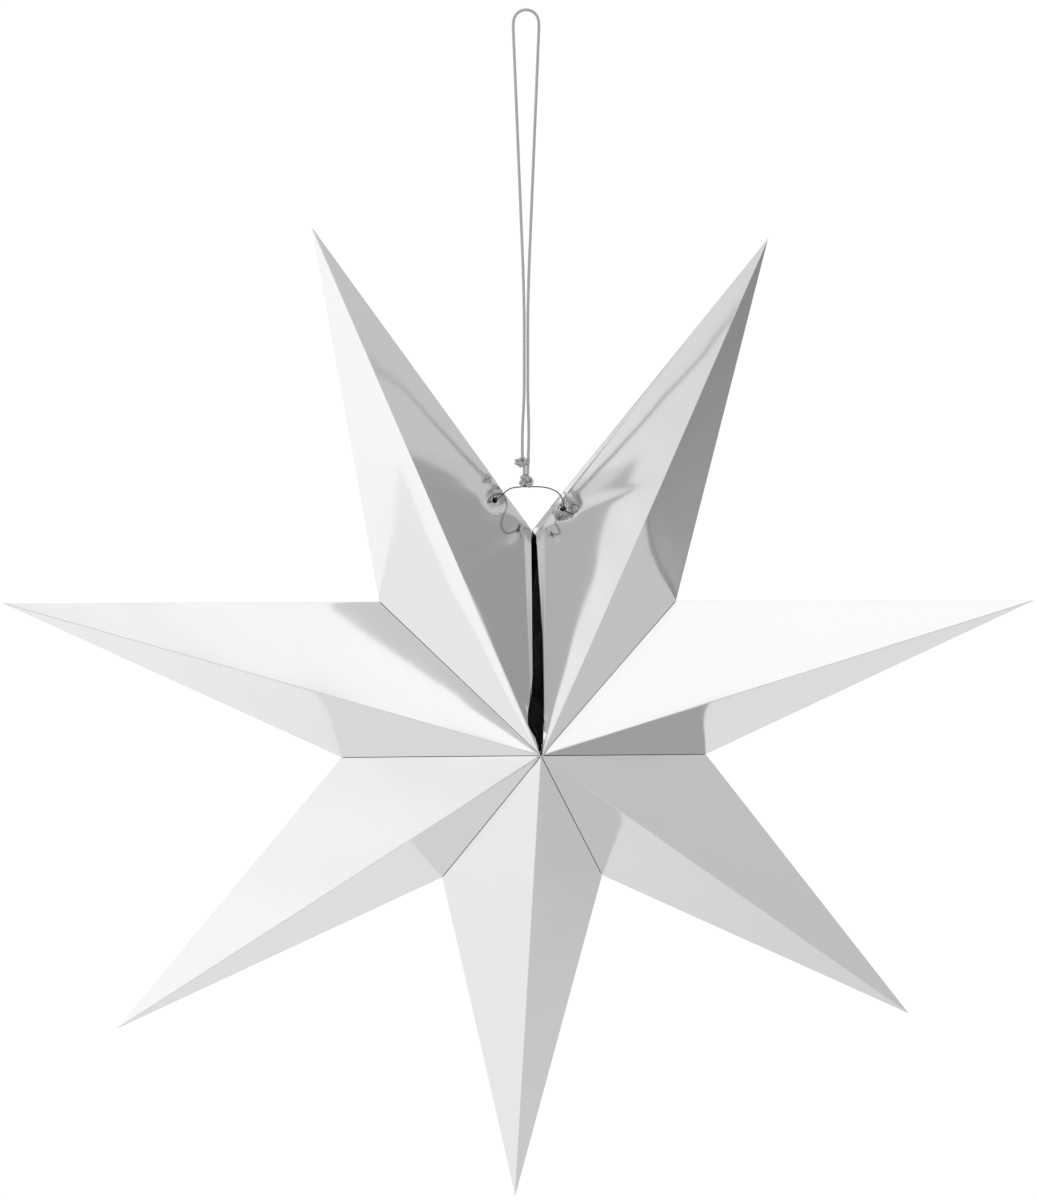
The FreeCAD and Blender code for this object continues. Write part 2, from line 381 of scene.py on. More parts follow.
KNOT_CORD_RADIUS = 0.62 * MM
loop_low, loop_high = (np.array(corner, float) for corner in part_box("loop_knot"))
LOOP_KNOT_DROP = 2.2 * MM
loop_knot_centre = np.array([(loop_low[0] + loop_high[0]) / 2, 0.0, loop_high[2] - LOOP_KNOT_DROP])
loop_knot = knot_piece("loop_knot_tied", loop_knot_centre, np.array([2.3, 1.5, 1.3]) * MM, 0.3,
                       KNOT_CORD_RADIUS,
                       [((-0.75, 0.0, -183.0), (-0.75, 0.0, -187.2)),
                        ((0.75, 0.0, -183.0), (0.75, 0.0, -187.2)),
                        ((1.1, 0.2, -180.6), (0.8, 0.0, -184.0))])
hitch_knot = knot_piece("hitch_knot_tied", box_centre("hitch_knot"), np.array([2.5, 2.0, 2.3]) * MM,
                        1.2, KNOT_CORD_RADIUS,
                        [((-1.4, -0.6, -187.6), (1.7, -0.9, -192.2)),
                         ((1.3, 0.9, -187.8), (-1.8, 0.8, -192.0))])
THREAD_KNOT_RADIUS = 0.28 * MM
thread_ends = []
for side, end in (("left", thread_line[0]), ("right", thread_line[-1])):
    tail = (end / MM - (1.2, 0.5, 0.9), end / MM + (1.3, 0.9, -1.0))
    thread_ends.append(knot_piece(side + "_thread_knot", end, np.array([1.1, 0.9, 1.1]) * MM, 0.7,
                                  THREAD_KNOT_RADIUS, [tail]))
print("knot boxes", [round(value * 1000, 1) for value in hitch_knot.dimensions])

# %% [markdown]
# ## The seven pockets as one formula
#
# A pocket is one sheet of card with two long ridge folds, front and back, and two outer edge folds.
# It could be built from four flat triangles, but then every fold would be a razor edge and every
# facet a perfect mirror. Instead the whole pocket is one surface of two parameters. Across it, v
# runs from one seam (-1) over the ridge (0) to the other seam (+1). Through it, w runs from the front
# centre (-1) over the outer edge (0) to the back centre (+1). A fold is the function that turns
# back at 0, and a parabola in its corner gives the fold a small round nose, as creased card has.

# %% Where a pocket's corners lie
FRONT_GAPS = {"seam": 0.15 * MM, "slit": 0.8 * MM, "valley_shift": 1.8 * MM}
BACK_GAPS = {"seam": 0.01 * MM, "slit": 0.01 * MM, "valley_shift": 0.45 * MM}
TIP_LEAN = {"upper_left_point": math.radians(1.75), "upper_right_point": math.radians(-0.5)}
POINT_NAMES = ["upper_right_point", "right_point", "lower_right_point", "bottom_point",
               "lower_left_point", "left_point", "upper_left_point"]


def outward(angle):
    """Unit direction in the star's plane, at an angle clockwise from the open seam."""
    return np.array([math.sin(angle + HANG_ROLL), 0.0, math.cos(angle + HANG_ROLL)])


def pocket_corners(number, name, gaps=FRONT_GAPS):
    """Axis point, tip and both valleys of one pocket, its sides moved in by half a seam gap."""
    middle = (number + 0.5) * PITCH
    before, after = outward(middle - PITCH / 2), outward(middle + PITCH / 2)
    before_in = outward(middle - PITCH / 2 + math.pi / 2)
    after_in = outward(middle + PITCH / 2 - math.pi / 2)
    before_gap = gaps["slit"] if number == 0 else gaps["seam"]
    after_gap = gaps["slit"] if number == POINT_COUNT - 1 else gaps["seam"]
    inwards = np.array([before_in[[0, 2]], after_in[[0, 2]]])
    move = np.linalg.solve(inwards, np.array([before_gap, after_gap]))
    before_shift = gaps["valley_shift"] if number == 0 else 0.0
    after_shift = -gaps["valley_shift"] if number == POINT_COUNT - 1 else 0.0
    return {"axis": CENTRE + np.array([move[0], 0.0, move[1]]),
            "tip": CENTRE + outward(middle + TIP_LEAN.get(name, 0.0)) * TIP_RADIUS,
            "before": CENTRE + before * VALLEY_RADIUS + before_in * (before_gap + before_shift),
            "after": CENTRE + after * VALLEY_RADIUS + after_in * (after_gap + after_shift),
            "before_out": before, "after_out": after,
            "before_in": before_in, "after_in": after_in, "middle": middle}


print("seams in front stand", round(2 * FRONT_GAPS["seam"] / MM, 2), "mm open")

# %% [markdown]
# Both parameters are packed closely in a fold and evenly over a facet. Towards the two centres the
# rows are packed more closely again, because the curled edge bends there.

# %% Fold profile
FOLD_NOSE = 0.004
OUTER_FOLD = 0.01


def smooth_step(t):
    """Smooth rise from 0 to 1 while t goes from 0 to 1."""
    t = np.clip(t, 0.0, 1.0)
    return t * t * (3 - 2 * t)


def soft_fold(t):
    """A fold's profile: |t| with a parabola for its corner, still 0 at 0 and 1 at 1."""
    nose = np.abs(t) < FOLD_NOSE
    bent = np.where(nose, (t * t / FOLD_NOSE + FOLD_NOSE) / 2, np.abs(t)) - FOLD_NOSE / 2
    return bent / (1 - FOLD_NOSE / 2)


def front_share(w):
    """1 on the front sheet and 0 on the back sheet, with a smooth change in the outer fold."""
    return 1 - smooth_step((w + OUTER_FOLD) / (2 * OUTER_FOLD))


def fold_steps(per_facet, crowding=1.0):
    """Parameters from -1 to 1: close together in the fold at 0, then 1 - (1 - s)^crowding."""
    even = np.linspace(0.0, 1.0, per_facet)
    rest = 3 * FOLD_NOSE + (1 - 3 * FOLD_NOSE) * (1 - (1 - even) ** crowding)
    facet = np.concatenate([[1.5 * FOLD_NOSE], rest])
    return np.concatenate([-facet[::-1], np.linspace(-FOLD_NOSE, FOLD_NOSE, 7), facet])


print("a facet of 40 steps has", len(fold_steps(40)), "columns for both facets")

# %% [markdown]
# The open seam is not straight. Low down, near the front centre, the free edge of the upper left
# pocket has curled in and leaves a drop-shaped opening, and both free edges are rolled in a little.
# A short table gives the edge's offset from the seam at a few distances from the centre axis.

# %% Curled free edge
EDGE_SLOPE = (TIP_RADIUS * math.cos(PITCH / 2) - VALLEY_RADIUS) / (TIP_RADIUS * math.sin(PITCH / 2))
SLIT_TABLE = np.array([[0.0, 2.0, 4.0, 6.0, 8.5, 11.0, 14.0, 18.0, 28.0, 60.0, 81.0],
                       [0.0, 0.1, 0.3, 1.5, 3.4, 4.7, 4.6, 3.3, 1.9, 1.1, 0.6]])
CURL_DEPTH = 1.6 * MM
CURL_PLACE = 8 * MM
CURL_REACH = 5 * MM
EDGE_ROLL = 0.8 * MM
ROLL_SHARE = 0.045
ROLL_FADE = 0.06


def slit_curl(radius):
    """How far the free edge has drawn back, by the distance its point had from the centre axis.

    A point draws back along the outer edge's direction, so it also moves away from the axis, by
    EDGE_SLOPE of what it moves sideways. The table gives the offset at the place it comes to.
    """
    place, offset = SLIT_TABLE * MM
    return np.interp(radius, place - EDGE_SLOPE * offset, offset)


print("widest curl of the free edge", SLIT_TABLE[1].max(), "mm")

# %% [markdown]
# The thread pulls at its two holes. Each pull leaves a shallow round dent in the card, and it breaks
# the facet along a crease from the hole to the ridge. A creased facet is a low pyramid: flat faces
# that meet at one raised point. Two of them are enough, one raised at the ridge and one at the edge.

# %% Dents and creases
HOLES = {"upper_left_point": np.array([-13.4, 0.0, -196.6]) * MM,
         "upper_right_point": np.array([15.1, 0.0, -201.3]) * MM}
HOLE_RADIUS = 1.3 * MM
DENT_DEPTH = 0.6 * MM
DENT_REACH = 4.5 * MM
CREASE_SHARE = 0.53
BENDS = {"upper_left_point": (0.6 * MM, 0.3 * MM), "upper_right_point": (1.5 * MM, 1.2 * MM)}


def pyramid(grid, peak, base):
    """Height over the star's plane: 1 at the peak, falling straight to 0 at each side of the base.

    Over one side, from a to b, the height is the area of a, b and the point, divided by the area
    of a, b and the peak. The pyramid is the least of these, and never under 0.
    """
    heights = []
    for start, end in zip(base, base[1:]):
        side = (end - start)[[0, 2]]
        square = np.array([side[1], -side[0]])
        heights.append(((grid - start)[..., [0, 2]] @ square) / ((peak - start)[[0, 2]] @ square))
    return np.clip(np.min(heights, axis=0), 0.0, 1.0)


def laced_bend(grid, name, corners):
    """Shifts backwards and forwards of a laced pocket, creased from its hole to its ridge's middle."""
    seam, far = ("before", "after") if name == "upper_right_point" else ("after", "before")
    tip, valley, axis = corners["tip"], corners[seam], corners["axis"]
    edge = (tip - valley) / np.linalg.norm(tip - valley)
    hole = valley + edge * ((HOLES[name] - valley) @ edge)
    ridge = axis + CREASE_SHARE * (tip - axis)
    ridge_push, edge_push = BENDS[name]
    return (pyramid(grid, hole, [tip, ridge, valley]) * edge_push,
            pyramid(grid, ridge, [tip, valley, axis, corners[far], tip]) * ridge_push)


print("the creases lift the ridges by", [push[0] / MM for push in BENDS.values()], "mm")

# %% [markdown]
# No facet is flat. Each one is slightly crowned and has long shallow ripples, too low to be seen in
# its outline, but a mirror shows them at once as a bend in what it reflects.

# %% Ripples
RIPPLE_SLOPE = 0.0008
CROWN_RANGE = (-0.1 * MM, 0.35 * MM)


def grid_normals(grid):
    """Unit normal at each point of a grid, from its differences along rows and columns."""
    normal = np.cross(np.gradient(grid, axis=1), np.gradient(grid, axis=0))
    length = np.linalg.norm(normal, axis=2, keepdims=True)
    return normal / np.maximum(length, 1e-12)


def ripples(grid, random, count=5):
    """Sum of shallow waves over the star's plane, 25 to 70 mm long, with chosen directions."""
    total = np.zeros(grid.shape[:2])
    for _ in range(count):
        heading, phase = random.uniform(0, 2 * math.pi, 2)
        wavelength = random.uniform(25, 70) * MM
        along = grid[:, :, 0] * math.cos(heading) + grid[:, :, 2] * math.sin(heading)
        total += np.sin(2 * math.pi * along / wavelength + phase) * wavelength
    return total * RIPPLE_SLOPE


print("a ripple of 50 mm is", round(50 * RIPPLE_SLOPE, 3), "mm high")

# %% [markdown]
# Now the parts come together. A row is the outer edge from valley over tip to valley, and the fold
# in w carries it towards the axis. The back sheet keeps its seams shut. The curl, the roll and the
# crease at the ridge are on the front sheet alone. The dent and the push at the outer edge beside it
# move both sheets, because the thread passes through both.
#
# A facet's crown is 16 |v| (1 - |v|) |w| (1 - |w|), which is 0 at its sides and 1 in its middle.

# %% Pocket grid
LACED_STEPS = 72
LACED_ROWS = 108
GLUED_STEPS = 40
CENTRE_CROWDING = 1.8
CURL_START = 0.5
CURL_WIDTH = 0.4
FIRST_SEED = 40


def pocket_grid(number, name, corners):
    """Points of one pocket: outer edge point moved to the axis by the fold in w, plus the depth."""
    laced = name in HOLES
    w = fold_steps(LACED_ROWS if laced else GLUED_STEPS, CENTRE_CROWDING)[:, None]
    v = fold_steps(LACED_STEPS if laced else GLUED_STEPS)[None, :] * np.ones_like(w)
    to_slit = v if number == POINT_COUNT - 1 else -v
    rolled = smooth_step((to_slit - 1 + ROLL_SHARE) / ROLL_SHARE) * smooth_step(-w / ROLL_FADE)
    in_w = soft_fold(w)
    in_front = front_share(w)[:, :, None]
    closed = pocket_corners(number, name, BACK_GAPS)
    before, after, axis = (corners[key] * in_front + closed[key] * (1 - in_front)
                           for key in ("before", "after", "axis"))
    curled = name == "upper_left_point"
    radius = (1 - in_w) * VALLEY_RADIUS
    if curled:
        share = slit_curl(radius) / np.maximum((1 - in_w) * TIP_RADIUS * math.sin(PITCH / 2), MM)
        v = v - front_share(w) * share * np.maximum(v, 0.0)
    half_span = (after - before) / 2
    valley = (after + before) / 2
    edge = (corners["tip"] + soft_fold(v)[:, :, None] * (valley - corners["tip"])
            + v[:, :, None] * half_span)
    grid = edge + in_w[:, :, None] * (axis - edge)
    grid = grid - (w * HALF_DEPTH)[:, :, None] * FRONTWARD
    random = np.random.default_rng(FIRST_SEED + number)
    facet = np.abs(v) * (1 - np.abs(v)) * np.abs(w) * (1 - np.abs(w)) * 16
    crown = np.where(v < 0, random.uniform(*CROWN_RANGE), random.uniform(*CROWN_RANGE))
    lift = crown * facet + ripples(grid, random) * np.sqrt(np.clip(facet, 0, 1))
    push = np.zeros_like(lift)
    if laced:
        away = np.linalg.norm((grid - HOLES[name])[:, :, [0, 2]], axis=2)
        lift = lift - DENT_DEPTH * np.exp(-(away / DENT_REACH) ** 2)
        backwards, forwards = laced_bend(grid, name, corners)
        push = forwards * front_share(w) - backwards - EDGE_ROLL * rolled
    if curled:
        inward = CURL_DEPTH * np.exp(-((radius - CURL_PLACE) / CURL_REACH) ** 2)
        push = push - np.where(w < 0, inward, 0.0) * smooth_step((v - CURL_START) / CURL_WIDTH)
    return grid + lift[:, :, None] * grid_normals(grid) + push[:, :, None] * FRONTWARD


print("a laced pocket has", len(fold_steps(LACED_ROWS)), "rows")

# %% [markdown]
# Along its seams the card turns in and makes a narrow flap, which is glued to the next pocket's flap.
# The flap is the seam's own triangle, shrunk a little towards the axis.

# %% Glue flaps
FLAP_SHARE = 0.166
FLAP_STEPS = np.array([0.33, 0.66, 1.0])
FLAP_TUCK = 0.8 * MM
FREE_FLAP_LEAN = 3.0 * MM


def with_flaps(grid, corners, leans):
    """The pocket with a flap turned in along each seam: the seam's triangle shrunk to the axis.

    A glued flap stays in the plane of its seam. A free one leans into its own pocket.
    """
    blocks = [grid]
    k = FLAP_STEPS[None, :, None]
    for column, side in ((0, "before"), (-1, "after")):
        seam = grid[:, column][:, None, :]
        flap = (corners["axis"] + (1 - FLAP_SHARE * k) * (seam - corners["axis"])
                + k * (FLAP_TUCK * corners[side + "_out"] + leans[side] * corners[side + "_in"]))
        blocks = [flap[:, ::-1]] + blocks if side == "before" else blocks + [flap]
    return np.concatenate(blocks, axis=1)


print("flap width at the axis", round(FLAP_SHARE * HALF_DEPTH / MM, 1), "mm")

# %% [markdown]
# The grid becomes a real sheet of card. Coinciding points at the two centres are merged, and a
# modifier that is applied at once leaves a plain closed mesh at the origin.

# %% Merging and applying
MERGE_DISTANCE = 2e-6
SHORTEST_EDGE = 1e-7


def applied(piece):
    """Replace a piece's mesh by what its modifiers make of it, and drop them."""
    graph = bpy.context.evaluated_depsgraph_get()
    mesh = bpy.data.meshes.new_from_object(piece.evaluated_get(graph))
    old = piece.data
    piece.modifiers.clear()
    piece.data = mesh
    bpy.data.meshes.remove(old)
    return piece


def merged(mesh):
    """Merge coinciding points, so that poles close."""
    work = bmesh.new()
    work.from_mesh(mesh)
    bmesh.ops.remove_doubles(work, verts=work.verts, dist=MERGE_DISTANCE)
    bmesh.ops.dissolve_degenerate(work, dist=SHORTEST_EDGE, edges=work.edges)
    work.to_mesh(mesh)
    work.free()


def mesh_points(mesh):
    """All points of a mesh as one table."""
    points = np.empty(len(mesh.vertices) * 3)
    mesh.vertices.foreach_get("co", points)
    return points.reshape(-1, 3)


print("points nearer than", MERGE_DISTANCE / MM, "mm are merged")

# %% [markdown]
# A boolean cut could punch the lacing holes, but it struggles with a thin open sheet. Here the sheet
# is divided finely round the hole, the inner faces are dropped, and the points of the ragged rim
# are moved to the hole's radius. A point is on the rim if one of its edges has only one face.

# %% Punched hole
PUNCH_ZONES = (4.0, 2.2)
PUNCH_CUTS = 3
RIM_SHARE = 1.5


def across_axis(place, centre):
    """Distance of a point from the line along Y through a centre."""
    return math.hypot(place[0] - centre[0], place[2] - centre[2])


def punch(mesh, centre):
    """Round holes along Y through a sheet, its rim points moved to centre + radius * direction."""
    work = bmesh.new()
    work.from_mesh(mesh)
    for reach in PUNCH_ZONES:
        near = [edge for edge in work.edges
                if min(across_axis(end.co, centre) for end in edge.verts) < reach * HOLE_RADIUS]
        bmesh.ops.subdivide_edges(work, edges=near, cuts=PUNCH_CUTS, use_grid_fill=True)
    bmesh.ops.triangulate(work, faces=[face for face in work.faces if len(face.verts) > 4])
    inner = [face for face in work.faces
             if across_axis(face.calc_center_median(), centre) < HOLE_RADIUS]
    bmesh.ops.delete(work, geom=inner, context="FACES")
    work.to_mesh(mesh)
    work.free()
    sides = np.empty(len(mesh.loops), np.int32)
    mesh.loops.foreach_get("edge_index", sides)
    ends = np.empty(len(mesh.edges) * 2, np.int32)
    mesh.edges.foreach_get("vertices", ends)
    open_edges = np.bincount(sides, minlength=len(mesh.edges)) == 1
    points = mesh_points(mesh)
    outwards = (points - centre) * (1, 0, 1)
    away = np.linalg.norm(outwards, axis=1)
    rim = np.zeros(len(points), bool)
    rim[ends.reshape(-1, 2)[open_edges]] = True
    rim &= away < RIM_SHARE * HOLE_RADIUS
    points[rim] += outwards[rim] * (HOLE_RADIUS / away[rim] - 1)[:, None]
    mesh.vertices.foreach_set("co", points.ravel())


print("a hole is", round(2 * HOLE_RADIUS / MM, 1), "mm wide")

# %% [markdown]
# Foil cracks where the card is folded, and the same whitening of the folds is also a painted
# highlight that stands in for the bright lines light draws along the ridges. This wear and painted
# highlight is stored on the points as a number, so that the finish can read it: highest on the
# ridges and the outer edges, lower on the glued seams.

# %% Worn folds with painted highlights
FOLD_WEAR_AND_HIGHLIGHT_REACH = 0.42 * MM
EDGE_WEAR_AND_HIGHLIGHT_REACH = 0.36 * MM
TIP_WEAR_AND_HIGHLIGHT_REACH = 3.0 * MM
RIDGE_WEAR_AND_HIGHLIGHT = 1.0
SEAM_WEAR_AND_HIGHLIGHT = 0.55
EDGE_WEAR_AND_HIGHLIGHT = 0.8


def segment_distance(points, start, end):
    """Distance of each point from the straight line between two others."""
    along = end - start
    share = np.clip(((points - start) @ along) / (along @ along), 0.0, 1.0)
    return np.linalg.norm(points - start - share[:, None] * along, axis=1)


def mark_wear_and_highlight(piece, corners):
    """Fold wear and painted highlight per point: strength * exp(-(distance / reach)^2) from the
    nearest fold or edge.
    """
    mesh = piece.data
    points = mesh_points(mesh)
    wear_and_highlight = np.zeros(len(points))
    for centre in (corners["axis"] + FRONTWARD * HALF_DEPTH, corners["axis"] - FRONTWARD * HALF_DEPTH):
        for end, strength in (("tip", RIDGE_WEAR_AND_HIGHLIGHT), ("before", SEAM_WEAR_AND_HIGHLIGHT), ("after", SEAM_WEAR_AND_HIGHLIGHT)):
            away = segment_distance(points, centre, corners[end])
            wear_and_highlight = np.maximum(wear_and_highlight, strength * np.exp(-(away / FOLD_WEAR_AND_HIGHLIGHT_REACH) ** 2))
    for valley in ("before", "after"):
        away = segment_distance(points, corners[valley], corners["tip"])
        wear_and_highlight = np.maximum(wear_and_highlight, EDGE_WEAR_AND_HIGHLIGHT * np.exp(-(away / EDGE_WEAR_AND_HIGHLIGHT_REACH) ** 2))
    away = np.linalg.norm(points - corners["tip"], axis=1)
    wear_and_highlight = np.maximum(wear_and_highlight, EDGE_WEAR_AND_HIGHLIGHT * np.exp(-(away / TIP_WEAR_AND_HIGHLIGHT_REACH) ** 2))
    # The mask is fold wear and also a painted highlight along the ridges, outer edges and tips.
    layer = mesh.attributes.new("fold_wear_and_highlight", "FLOAT", "POINT")
    layer.data.foreach_set("value", wear_and_highlight)


print("a worn ridge is about", round(2 * FOLD_WEAR_AND_HIGHLIGHT_REACH / MM, 1), "mm wide")

# %% [markdown]
# One pocket is the grid with its flaps, turned outside out, punched if it is laced, and given the
# card's thickness inwards. The outside is foil, and the inside and the cut edges are white board.

# %% One pocket
CARD_THICKNESS = 0.4 * MM
SHARP_ANGLE = math.radians(35)


def card_pocket(number, name):
    """One finished pocket of foil-faced card."""
    corners = pocket_corners(number, name)
    leans = {"before": FREE_FLAP_LEAN if number == 0 else 0.0,
             "after": FREE_FLAP_LEAN if number == POINT_COUNT - 1 else 0.0}
    grid = with_flaps(pocket_grid(number, name, corners), corners, leans)
    rows, columns = grid.shape[:2]
    piece = mesh_object("foil_" + name, grid.reshape(-1, 3), grid_faces(rows, columns, False))
    merged(piece.data)
    normals = np.array([face.normal for face in piece.data.polygons])
    centres = np.array([face.center for face in piece.data.polygons])
    if ((centres - CENTRE) * normals).sum() < 0:
        piece.data.flip_normals()
    if name in HOLES:
        punch(piece.data, HOLES[name])
    wall = piece.modifiers.new("card", "SOLIDIFY")
    wall.thickness = CARD_THICKNESS
    wall.offset = -1.0
    wall.material_offset = 1
    wall.material_offset_rim = 1
    for material in (foil, board):
        piece.data.materials.append(material)
    applied(piece)
    piece.data.set_sharp_from_angle(angle=SHARP_ANGLE)
    mark_wear_and_highlight(piece, corners)
    return piece, corners


print("card", CARD_THICKNESS / MM, "mm thick")

# %% [markdown]
# ## Writing shader maths as sums
#
# A procedural finish is arithmetic on numbers that vary over the surface. The small class below
# wraps one socket, so that an expression such as `1 - mask * 0.5` adds its Math nodes by itself.
# Every other node comes from one method that takes its type, its settings and its inputs.

# %% Shader helper
class Shade:
    """One output socket of a shader tree; arithmetic on it adds Math nodes to the same tree."""

    def __init__(self, tree, socket):
        self.tree = tree
        self.socket = socket

    def node(self, kind, settings=None, inputs=None, output=0):
        """New node: its settings first, then values or links for its sockets; gives one output.

        An output node has no outputs of its own, so it gives nothing.
        """
        made = self.tree.nodes.new(kind)
        for key, value in (settings or {}).items():
            setattr(made, key, value)
        for key, value in (inputs or {}).items():
            if isinstance(value, Shade):
                self.tree.links.new(value.socket, made.inputs[key])
            else:
                made.inputs[key].default_value = value
        return Shade(self.tree, made.outputs[output]) if made.outputs else None

    def maths(self, operation, first, second=0.0):
        """Math node on two values."""
        return self.node("ShaderNodeMath", {"operation": operation}, {0: first, 1: second})

    def __add__(self, other):
        return self.maths("ADD", self, other)

    def __mul__(self, other):
        return self.maths("MULTIPLY", self, other)

    def __sub__(self, other):
        return self.maths("SUBTRACT", self, other)

    def __rsub__(self, other):
        return self.maths("SUBTRACT", other, self)

    __radd__ = __add__
    __rmul__ = __mul__

    def above(self, low, high):
        """0 below low, 1 above high and smooth between."""
        return self.node("ShaderNodeMapRange", {"interpolation_type": "SMOOTHSTEP"},
                         {"Value": self, "From Min": low, "From Max": high})

    def blend(self, first, second):
        """Colour that goes from the first to the second as this value goes from 0 to 1."""
        return self.node("ShaderNodeMix", {"data_type": "RGBA"}, {0: self, 6: first, 7: second}, 2)


def new_tree(owner):
    """Empty node tree of a material or world, as a Shade with no socket yet."""
    owner.use_nodes = True
    owner.node_tree.nodes.clear()
    return Shade(owner.node_tree, None)


def new_finish(name):
    """Material and a Shade that holds the place on the object."""
    material = bpy.data.materials.new(name)
    return material, new_tree(material).node("ShaderNodeTexCoord", output="Object")


def cover(place, **sockets):
    """Principled shader on the material's output; an underscore in a name stands for a space."""
    inputs = {name.replace("_", " "): value for name, value in sockets.items()}
    surface = place.node("ShaderNodeBsdfPrincipled", {}, inputs)
    place.node("ShaderNodeOutputMaterial", {}, {"Surface": surface})


def noise(place, scale, detail=2.0, roughness=0.5):
    """Cloudy number from 0 to 1, with about scale clouds to a metre."""
    return place.node("ShaderNodeTexNoise", {"noise_dimensions": "3D"},
                      {"Vector": place, "Scale": scale, "Detail": detail, "Roughness": roughness})


def bump(height, strength, distance):
    """Shading normal of a relief of that height in metres."""
    return height.node("ShaderNodeBump", {}, {"Height": height, "Strength": strength,
                                             "Distance": distance})


print("shader helper ready")

# %% [markdown]
# ## Mirror foil
#
# Hot-pressed silver foil on card is a mirror with faults: a very fine orange-peel from the card
# underneath, long shallow waves, faint cloudy patches where it is duller, and white paper that shows
# where a fold has cracked it. The real thing is a metal film, so the shader is metal, and the worn
# folds lower the metal part to let the paper show. That pale line along the folds is also a painted
# highlight: it stands in for the light that the rounded ridges catch.

# %% Foil and board
foil, place = new_finish("mirror_foil")
# Painted highlight: the fold mask turns the folds into pale paper, partly cracked foil and partly a
# stand-in for the light along the ridges.
wear_and_highlight = place.node("ShaderNodeAttribute", {"attribute_name": "fold_wear_and_highlight"}, {}, 2)
cracks = noise(place, 900.0, 3.0, 0.7)
worn_and_highlit = (wear_and_highlight + cracks * 0.5 - 0.35).above(0.35, 0.8)
clouds = noise(place, 28.0, 3.0)
peel = noise(place, 1500.0, 2.0)
waves = noise(place, 34.0, 1.0)
scuffs = noise(place, 160.0, 4.0, 0.65).above(0.62, 0.78)
foil_relief = waves * 0.0006 + peel * 0.000003
# Worn folds are less metallic and rougher: real foil wear, and a painted highlight along the ridges.
cover(place,
      Base_Color=worn_and_highlit.blend((0.94, 0.94, 0.94, 1.0), (0.88, 0.88, 0.87, 1.0)),
      Metallic=1 - worn_and_highlit * 0.8,
      Roughness=clouds * 0.05 + scuffs * 0.03 + worn_and_highlit * 0.4 + 0.065,
      Normal=bump(foil_relief, 0.35, 1.0))

board, place = new_finish("white_board")
fibres = noise(place, 700.0, 5.0, 0.7)
stain = noise(place, 45.0, 2.0)
cover(place,
      Base_Color=(stain * 0.5 + fibres * 0.5).blend((0.70, 0.69, 0.66, 1.0), (0.86, 0.85, 0.82, 1.0)),
      Roughness=fibres * 0.15 + 0.75,
      Normal=bump(fibres * 0.00006, 0.6, 1.0))
print("foil nodes", len(foil.node_tree.nodes), "board nodes", len(board.node_tree.nodes))

# %% [markdown]
# ## Silver cord and dark thread
#
# The cord's yarns hold a metal-coloured filament, so they are half metallic and have a low sparkle
# that changes every fraction of a millimetre. The thread is waxed, so it is dark and a little shiny.

# %% Cord and thread finishes
silver, place = new_finish("silver_yarn")
filament = noise(place, 2600.0, 2.0, 0.6)
soil = noise(place, 60.0, 2.0)
cover(place,
      Base_Color=(filament * 0.8 + soil * 0.2).blend((0.36, 0.36, 0.37, 1.0), (0.80, 0.80, 0.81, 1.0)),
      Metallic=0.45,
      Roughness=filament * 0.25 + 0.30,
      Normal=bump(filament * 0.00008, 0.6, 1.0))

waxed, place = new_finish("waxed_thread")
fibre = noise(place, 3200.0, 2.0)
cover(place,
      Base_Color=fibre.blend((0.030, 0.030, 0.034, 1.0), (0.11, 0.11, 0.12, 1.0)),
      Roughness=fibre * 0.2 + 0.42,
      Normal=bump(fibre * 0.00005, 0.5, 1.0))

cord.data.materials.append(silver)
loop_knot.data.materials.append(silver)
hitch_knot.data.materials.append(silver)
for piece in [thread] + thread_ends:
    piece.data.materials.append(waxed)
print("yarn finishes ready")

# %% [markdown]
# ## Making the seven pockets
#
# One loop makes all seven. Each pocket rides on its own body and has its own copy of its mesh. When
# the star is folded flat, a pocket closes like a bellows, but here each pocket stays one stiff piece.

# %% Pockets
for number, name in enumerate(POINT_NAMES):
    piece, corners = card_pocket(number, name)
    body = name.replace("_point", "")
    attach(piece, body)
    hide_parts(name)
    across = outward(corners["middle"] + math.pi / 2)
    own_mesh(piece)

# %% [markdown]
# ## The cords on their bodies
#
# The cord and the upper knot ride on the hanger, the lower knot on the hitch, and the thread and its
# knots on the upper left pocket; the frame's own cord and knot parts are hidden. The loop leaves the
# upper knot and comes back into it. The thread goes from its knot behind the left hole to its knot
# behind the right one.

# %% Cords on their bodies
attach(cord, "hanger")
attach(loop_knot, "hanger")
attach(hitch_knot, "hitch")
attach(thread, "upper_left")
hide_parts("hanging_cord")
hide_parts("loop_knot")
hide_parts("hitch_knot")
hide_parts("tie_thread")
for piece in thread_ends:
    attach(piece, "upper_left")

# %% [markdown]
# ## Studio
#
# A mirror shows its surroundings, so the light is the drawing here. The star hangs over a plain pale
# floor in a bright room. The room is a table of soft patches: each row gives the direction in which
# a patch lies and how bright it is. It is brightest on the left and above, and darker on the right
# and in front, so that every facet takes its own tone. Between patches the brightness is their
# weighted mean, with the weight exp(-(distance / reach)^2).

